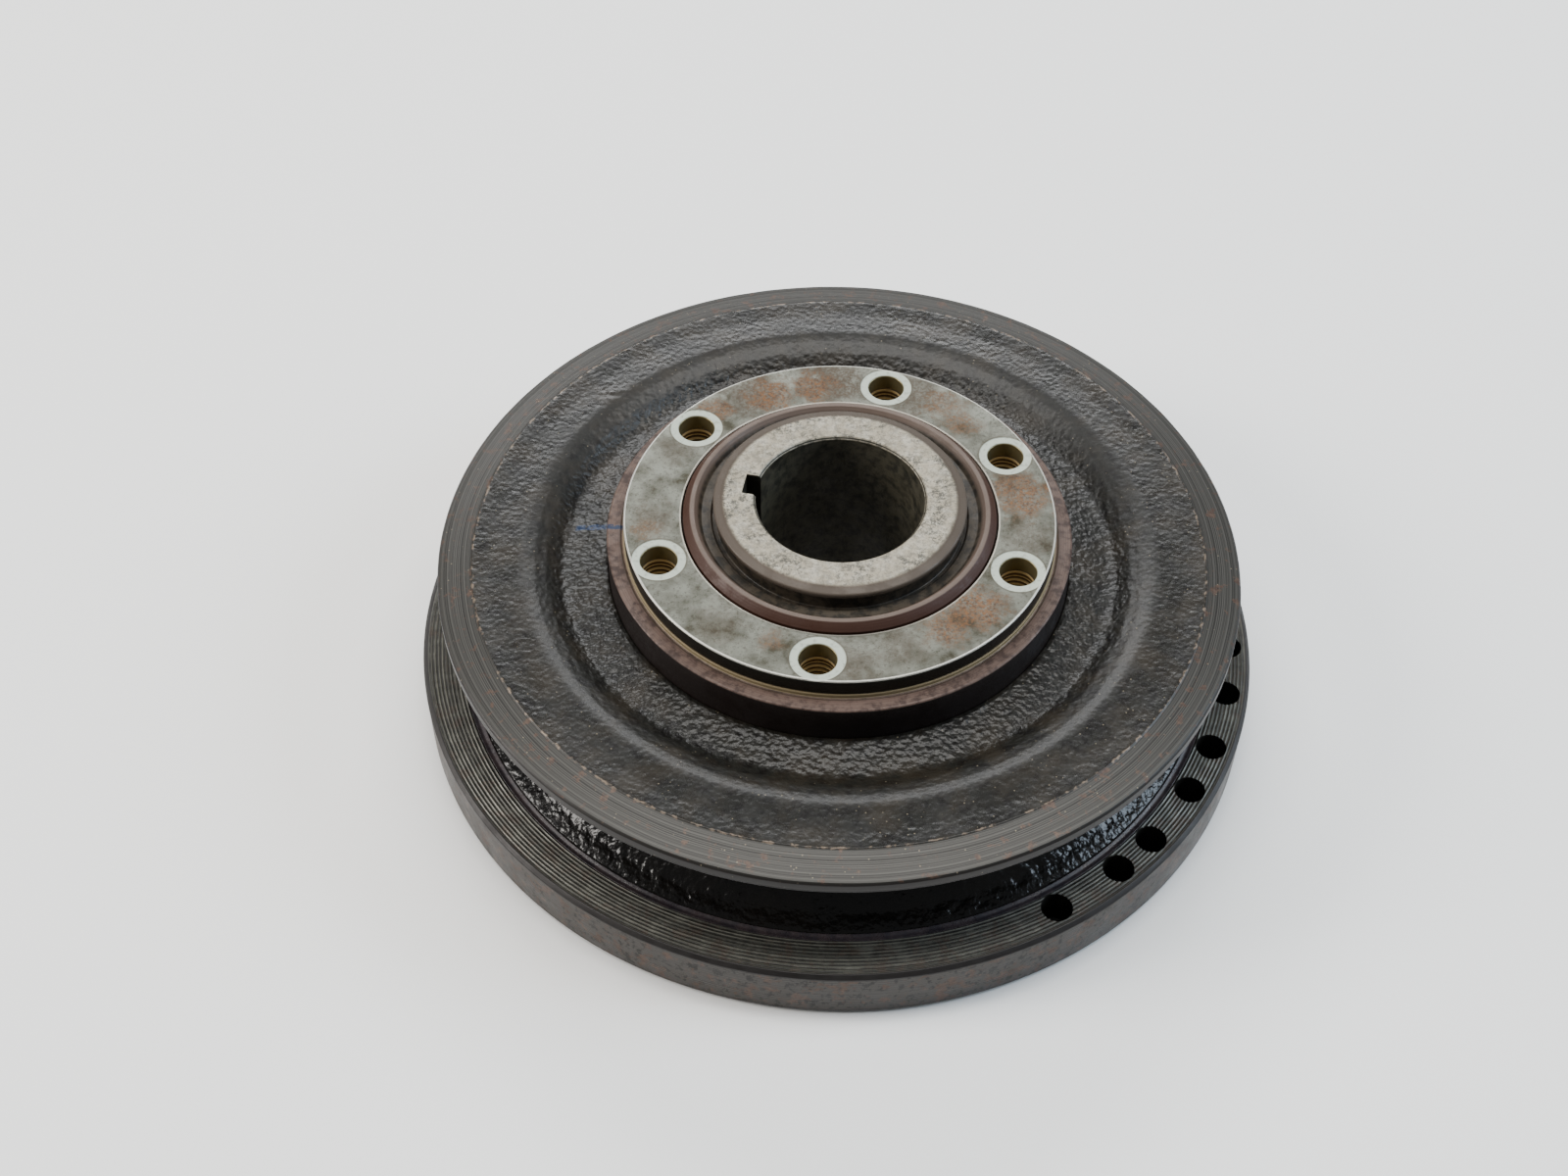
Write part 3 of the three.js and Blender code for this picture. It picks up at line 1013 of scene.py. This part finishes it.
class PULLEY_OT_hub(bpy.types.Operator):
    """Turn the hub and cut its keyway and threaded holes"""

    bl_idname = "pulley.hub"
    bl_label = "Hub"

    def execute(self, context):
        s = context.scene.pulley_hub
        plate = context.scene.pulley_plate
        corners = [
            Corner(s.bore + 0.8 * MM, 0.0),
            Corner(s.sleeve - 0.8 * MM, 0.0, 0.1 * MM),
            Corner(s.sleeve, 0.8 * MM, 0.1 * MM),
            Corner(s.sleeve, s.flange_rear, 2.0 * MM),
            Corner(s.lip, s.flange_rear, 0.5 * MM),
            Corner(s.lip, s.lip_top, 0.45 * MM),
            Corner(s.seat + 0.55 * MM, s.lip_top, 0.05 * MM),
            Corner(s.seat + 0.3 * MM, s.lip_top - 0.2 * MM, 0.05 * MM),
            Corner(s.seat, s.lip_top - 0.05 * MM, 0.05 * MM),
            Corner(s.seat, s.seat_top, 0.15 * MM),
            Corner(s.collar, s.seat_top, 0.0),
            Corner(s.collar, s.collar_top - 1.4 * MM, 0.1 * MM),
            Corner(s.collar - 1.35 * MM, s.collar_top, 0.2 * MM),
            Corner(s.collar - 2.2 * MM, s.collar_top, 0.3 * MM),
            Corner(s.collar - 3.5 * MM, s.groove_floor + 0.1 * MM, 0.3 * MM),
            Corner(s.boss + 0.5 * MM, s.groove_floor, 0.1 * MM),
            Corner(s.boss + 0.2 * MM, s.groove_floor - 0.5 * MM, 0.15 * MM),
            Corner(s.boss - 0.6 * MM, s.groove_floor - 0.5 * MM, 0.2 * MM),
            Corner(s.boss - 0.6 * MM, s.boss_top - 1.9 * MM, 0.2 * MM),
            Corner(s.boss, s.boss_top - 1.4 * MM, 0.25 * MM),
            Corner(s.boss, s.boss_top - 0.55 * MM, 0.7 * MM),
            Corner(s.boss - 2.2 * MM, s.boss_top, 0.8 * MM),
            Corner(s.bore + 0.5 * MM, s.boss_top, 0.1 * MM),
            Corner(s.bore, s.boss_top - 0.5 * MM, 0.1 * MM),
            Corner(s.bore, 0.8 * MM, 0.1 * MM),
        ]
        corners = [corner._replace(pitch=4 * MM) for corner in corners]
        piece = turned("hub_fine", corners, HUB_STEPS)
        deselect()
        depth = s.boss_top * 1.2
        bpy.ops.mesh.primitive_cube_add(
            size=1.0,
            location=on_circle(s.keyway_radius / 2, math.degrees(s.keyway_angle), s.boss_top / 2),
            rotation=(0, 0, s.keyway_angle),
            scale=(s.keyway_radius, s.keyway_width, depth),
        )
        bpy.ops.object.transform_apply(location=True, rotation=True, scale=True)
        cut(piece, context.object)
        tool = place_copies(thread_tool(s), plate.bolt_circle, BOLT_ANGLES)
        cut(piece, tool)
        smooth(piece)
        colours = context.scene.pulley_colours
        finish_piece(piece, "pulley", "hub", hub_material(colours, s))
        return {"FINISHED"}


def thread_tool(s):
    """Cutter with the shape of a tapped hole: a stack of sharp rings."""
    bottom = s.flange_rear - 1.0 * MM
    top = s.seat_top + 1.0 * MM
    corners = [Corner(0.0, bottom), Corner(s.thread_crest, bottom)]
    height = s.flange_rear + 0.2 * MM
    while height + s.thread_pitch < s.seat_top - 0.5 * MM:
        corners.append(Corner(s.thread_crest, height))
        corners.append(Corner(s.thread_root, height + s.thread_pitch * 0.45))
        corners.append(Corner(s.thread_root, height + s.thread_pitch * 0.55))
        height += s.thread_pitch
    corners.append(Corner(s.thread_crest, height))
    corners.append(Corner(s.thread_crest, top))
    corners.append(Corner(0.0, top))
    return turned("thread_tool", corners, SMALL_HOLE_STEPS)


class PULLEY_OT_plate(bpy.types.Operator):
    """Turn the flange plate and bore its bolt holes"""

    bl_idname = "pulley.plate"
    bl_label = "Flange plate"

    def execute(self, context):
        s = context.scene.pulley_plate
        far = 20 * MM
        corners = [
            Corner(s.inner, s.bottom, 0.15 * MM, far),
            Corner(s.outer, s.bottom, 0.25 * MM, far),
            Corner(s.outer, s.top, 0.28 * MM, far),
            Corner(s.inner, s.top, 0.2 * MM, far),
        ]
        piece = turned("flange_plate_fine", corners, HUB_STEPS)
        low = s.bottom - 1 * MM
        tool = turned(
            "hole_tool",
            [
                Corner(0.0, low, 0.0, far),
                Corner(s.hole, low, 0.0, far),
                Corner(s.hole, s.top - 0.3 * MM, 0.0, far),
                Corner(s.hole + 0.22 * MM, s.top - 0.08 * MM, 0.0, far),
                Corner(s.ring - 0.05 * MM, s.top - 0.08 * MM, 0.0, far),
                Corner(s.ring, s.top - 0.04 * MM, 0.0, far),
                Corner(s.ring, s.top + 1 * MM, 0.0, far),
                Corner(0.0, s.top + 1 * MM, 0.0, far),
            ],
            BOLT_HOLE_STEPS,
        )
        cut(piece, place_copies(tool, s.bolt_circle, BOLT_ANGLES))
        smooth(piece)
        colours = context.scene.pulley_colours
        finish_piece(piece, "pulley", "flange_plate", plate_material(colours, s))
        return {"FINISHED"}


class PULLEY_OT_casting(bpy.types.Operator):
    """Turn the cast body with its dish, web, rim band and belt groove, and roughen its skin"""

    bl_idname = "pulley.casting"
    bl_label = "Pulley casting"

    def execute(self, context):
        s = context.scene.pulley_casting
        fine = 0.6 * MM
        far = 6 * MM
        rear = 20 * MM
        web_rear = 23 * MM
        corners = [
            Corner(s.bore, rear, 0.2 * MM, far),
            Corner(s.bore, s.dish + 0.9 * MM, 0.2 * MM, far),
            Corner(s.bore + 0.8 * MM, s.dish + 1.0 * MM, 0.4 * MM, fine),
            Corner(s.web_inner - 7.4 * MM, s.dish, 3.0 * MM, fine),
            Corner(s.web_inner - 4.2 * MM, s.dish + 2.2 * MM, 4.0 * MM, fine),
            Corner(s.web_inner - 1.9 * MM, s.web - 0.5 * MM, 4.0 * MM, fine),
            Corner(s.web_inner, s.web, 4.0 * MM, 0.8 * MM),
            Corner(s.web_inner + 6 * MM, s.web + 0.1 * MM, 0.0, 0.8 * MM),
            Corner(s.band, s.web + 0.35 * MM, 0.05 * MM, 0.3 * MM),
            Corner(s.band + 0.3 * MM, s.web + 0.2 * MM, 0.05 * MM, 2.0 * MM),
            Corner(s.rim - 0.4 * MM, s.rim_top, 0.25 * MM, far),
            Corner(s.rim, s.rim_top - 0.4 * MM, 0.3 * MM, 1.0 * MM),
            Corner(s.rim, s.rim_bottom, 0.35 * MM, 2.5 * MM),
            Corner(s.root + 1.0 * MM, s.rim_bottom - 4.0 * MM, 0.6 * MM, far),
            Corner(s.root, s.rim_bottom - 5.1 * MM, 0.8 * MM, 2.0 * MM),
            Corner(s.root, s.drum_top + 7.5 * MM, 3.0 * MM, 1.0 * MM),
            Corner(s.root + 2.6 * MM, s.drum_top + 3.8 * MM, 4.0 * MM, 0.9 * MM),
            Corner(s.root + 5.8 * MM, s.drum_top + 1.2 * MM, 4.0 * MM, 0.9 * MM),
            Corner(s.drum - 0.2 * MM, s.drum_top - 0.1 * MM, 0.15 * MM, 0.5 * MM),
            Corner(s.drum, s.drum_top - 0.35 * MM, 0.1 * MM, far),
            Corner(s.drum, s.drum_bottom, 0.3 * MM, far),
            Corner(s.drum_inner, s.drum_bottom, 0.9 * MM, far),
            Corner(s.drum_inner, web_rear, 3.0 * MM, far),
            Corner(s.bore + 7 * MM, web_rear, 1.0 * MM, far),
            Corner(s.bore + 5 * MM, rear, 0.8 * MM, far),
        ]
        piece = turned("pulley_casting_fine", corners, CASTING_STEPS)

        def in_front(height):
            return 1.0 if height >= s.dish - 1.7 * MM else 0.0

        def dish_weight(radius, height, place):
            inner = ramp(radius, s.bore, s.bore + 0.6 * MM)
            outer = ramp(radius, s.web_inner - 0.5 * MM, s.web_inner - 7 * MM)
            return in_front(height) * inner * outer

        def web_weight(radius, height, place):
            inner = ramp(radius, s.web_inner - 7 * MM, s.web_inner - 2 * MM)
            outer = ramp(radius, s.band + 0.1 * MM, s.band - 0.6 * MM)
            return in_front(height) * inner * outer

        def groove_weight(radius, height, place):
            outer = ramp(radius, s.drum, s.drum - 0.8 * MM)
            inner = ramp(radius, s.root - 1 * MM, s.root - 0.5 * MM)
            low = ramp(height, s.drum_top - 0.1 * MM, s.drum_top + 0.4 * MM)
            high = ramp(height, s.rim_bottom - 4.6 * MM, s.rim_bottom - 7.1 * MM)
            return outer * inner * low * high

        def rim_weight(radius, height, place):
            return ramp(radius, s.rim - 1.2 * MM, s.rim - 0.2 * MM)

        def blotch_weight(radius, height, place):
            distance = (place - on_circle(s.web_inner, BLOTCH_ANGLE, place.z)).length
            return in_front(height) * ramp(distance, 3.2 * MM, 1.2 * MM)

        weigh(piece, "dish", dish_weight)
        weigh(piece, "web", web_weight)
        weigh(piece, "groove", groove_weight)
        weigh(piece, "rim", rim_weight)
        weigh(piece, "blotch", blotch_weight)
        for group, size, rise, depth in CAST_LUMPS:
            roughen(piece, group, size * MM, rise * MM, depth)
        piece.vertex_groups.clear()
        smooth(piece)
        colours = context.scene.pulley_colours
        finish_piece(piece, "pulley", "pulley_casting", casting_material(colours, s))
        return {"FINISHED"}


class PULLEY_OT_rubber(bpy.types.Operator):
    """Turn the bonded rubber ring with its hollowed front face"""

    bl_idname = "pulley.rubber"
    bl_label = "Damper rubber"

    def execute(self, context):
        s = context.scene.pulley_ring
        low = 1.5 * MM
        far = 6 * MM
        middle = (s.rubber_inner + s.rubber_outer) / 2
        corners = [
            Corner(s.rubber_inner, low, 0.1 * MM, far),
            Corner(middle, low + 0.25 * MM, 0.4 * MM, 0.3 * MM),
            Corner(s.rubber_outer, low, 0.1 * MM, far),
            Corner(s.rubber_outer, s.rubber_top, 0.1 * MM, 0.3 * MM),
            Corner(middle, s.rubber_top - 0.3 * MM, 0.5 * MM, 0.3 * MM),
            Corner(s.rubber_inner, s.rubber_top, 0.1 * MM, far),
        ]
        piece = turned("damper_rubber_fine", corners, RING_STEPS)
        smooth(piece)
        colours = context.scene.pulley_colours
        finish_piece(piece, "rubber", "damper_rubber", rubber_material(colours))
        return {"FINISHED"}


class PULLEY_OT_ring(bpy.types.Operator):
    """Turn the inertia ring with its ridged face and drill its balance holes"""

    bl_idname = "pulley.ring"
    bl_label = "Inertia ring"

    def execute(self, context):
        s = context.scene.pulley_ring
        far = 20 * MM
        chamfer = 0.7 * MM
        corners = [
            Corner(s.inner, s.bottom, 0.3 * MM, far),
            Corner(s.outer, s.bottom, 0.6 * MM, far),
            Corner(s.outer, s.top - chamfer, 0.1 * MM, far),
            Corner(s.outer - chamfer, s.top - 0.05 * MM, 0.1 * MM, far),
        ]
        start = s.outer - chamfer - 0.25 * MM
        pitch = (start - s.inner - 0.3 * MM) / s.ridges
        for i in range(s.ridges):
            here = start - i * pitch
            corners.append(Corner(here, s.top, 0.0, far))
            corners.append(Corner(here - 0.35 * pitch, s.top - 0.75 * s.ridge_depth, 0.0, far))
            corners.append(Corner(here - 0.60 * pitch, s.top - s.ridge_depth, 0.0, far))
            corners.append(Corner(here - 0.85 * pitch, s.top - 0.65 * s.ridge_depth, 0.0, far))
        corners.append(Corner(s.inner + 0.3 * MM, s.top, 0.0, far))
        corners.append(Corner(s.inner, s.top - 0.25 * MM, 0.1 * MM, far))
        piece = turned("inertia_ring_fine", corners, RING_STEPS)
        low = s.top - s.balance_depth
        tool = turned(
            "balance_tool",
            [
                Corner(0.0, low - 1.6 * MM, 0.0, far),
                Corner(s.balance_hole, low, 0.0, far),
                Corner(s.balance_hole, s.top - 0.25 * MM, 0.0, far),
                Corner(s.balance_hole + 0.12 * MM, s.top + 1 * MM, 0.0, far),
                Corner(0.0, s.top + 1 * MM, 0.0, far),
            ],
            SMALL_HOLE_STEPS,
        )
        cut(piece, place_copies(tool, s.balance_circle, BALANCE_ANGLES))
        smooth(piece, 50)
        colours = context.scene.pulley_colours
        finish_piece(piece, "ring", "inertia_ring", ring_material(colours))
        return {"FINISHED"}


# ---------------------------------------------------------------- stage


def area_light(name, place, target, size, power, tint):
    light = bpy.data.lights.new(name, "AREA")
    light.shape = "RECTANGLE"
    light.size = size[0]
    light.size_y = size[1]
    light.energy = power
    light.color = tint
    holder = bpy.data.objects.new(name, light)
    bpy.context.scene.collection.objects.link(holder)
    holder.location = place
    aim = Vector(target) - Vector(place)
    holder.rotation_euler = aim.to_track_quat("-Z", "Y").to_euler()


class PULLEY_OT_stage(bpy.types.Operator):
    """Lay the floor and set the lights and the camera"""

    bl_idname = "pulley.stage"
    bl_label = "Studio"

    def execute(self, context):
        scene = context.scene
        deselect()
        bpy.ops.mesh.primitive_plane_add(size=6.0, location=(0, 0, 0))
        floor = context.object
        floor.name = "studio_floor"
        material = bpy.data.materials.new("studio floor")
        material.use_nodes = True
        shader = material.node_tree.nodes["Principled BSDF"]
        shader.inputs["Base Color"].default_value = rgba(scene.pulley_colours.floor)
        shader.inputs["Roughness"].default_value = 0.6
        floor.data.materials.append(material)

        world = bpy.data.worlds.new("studio world")
        scene.world = world
        world.use_nodes = True
        background = world.node_tree.nodes["Background"]
        background.inputs["Color"].default_value = SKY_COLOUR
        background.inputs["Strength"].default_value = SKY_STRENGTH

        for light in LIGHTS:
            area_light(*light)

        camera_data = bpy.data.cameras.new("camera")
        camera_data.sensor_width = SENSOR
        camera_data.lens = LENS
        camera_data.clip_start = 0.01
        camera = bpy.data.objects.new("camera", camera_data)
        scene.collection.objects.link(camera)
        elevation = math.radians(CAMERA_ELEVATION)
        roll = math.radians(CAMERA_ROLL)
        forward = Vector((0, math.cos(elevation), -math.sin(elevation)))
        right = Vector((1, 0, 0))
        up = right.cross(forward)
        place = Vector(CAMERA_TARGET) - forward * CAMERA_DISTANCE + up * CAMERA_RISE
        rolled_right = right * math.cos(roll) + up * math.sin(roll)
        rolled_up = up * math.cos(roll) - right * math.sin(roll)
        turn = Matrix((rolled_right, rolled_up, -forward)).transposed()
        camera.matrix_world = Matrix.Translation(place) @ turn.to_4x4()
        scene.camera = camera
        return {"FINISHED"}


class PULLEY_PT_panel(bpy.types.Panel):
    """Buttons for the pulley's pieces"""

    bl_idname = "PULLEY_PT_panel"
    bl_label = "V-belt pulley"
    bl_space_type = "VIEW_3D"
    bl_region_type = "UI"
    bl_category = "Pulley"

    def draw(self, context):
        for operator in OPERATORS:
            self.layout.operator(operator.bl_idname)


OPERATORS = (
    PULLEY_OT_finishes,
    PULLEY_OT_hub,
    PULLEY_OT_plate,
    PULLEY_OT_casting,
    PULLEY_OT_rubber,
    PULLEY_OT_ring,
    PULLEY_OT_stage,
)
SETTINGS = {
    "pulley_hub": PulleyHubSizes,
    "pulley_plate": PulleyPlateSizes,
    "pulley_casting": PulleyCastingSizes,
    "pulley_ring": PulleyRingSizes,
    "pulley_colours": PulleyColours,
}


def register():
    for group in SETTINGS.values():
        bpy.utils.register_class(group)
    for name, group in SETTINGS.items():
        setattr(bpy.types.Scene, name, PointerProperty(type=group))
    for operator in OPERATORS:
        bpy.utils.register_class(operator)
    bpy.utils.register_class(PULLEY_PT_panel)


def unregister():
    bpy.utils.unregister_class(PULLEY_PT_panel)
    for operator in reversed(OPERATORS):
        bpy.utils.unregister_class(operator)
    for name, group in SETTINGS.items():
        delattr(bpy.types.Scene, name)
        bpy.utils.unregister_class(group)


def main():
    register()
    bpy.ops.pulley.finishes()
    bpy.ops.pulley.hub()
    bpy.ops.pulley.plate()
    bpy.ops.pulley.casting()
    bpy.ops.pulley.rubber()
    bpy.ops.pulley.ring()
    bpy.ops.pulley.stage()
    bpy.context.view_layer.update()


if __name__ == "__main__":
    main()
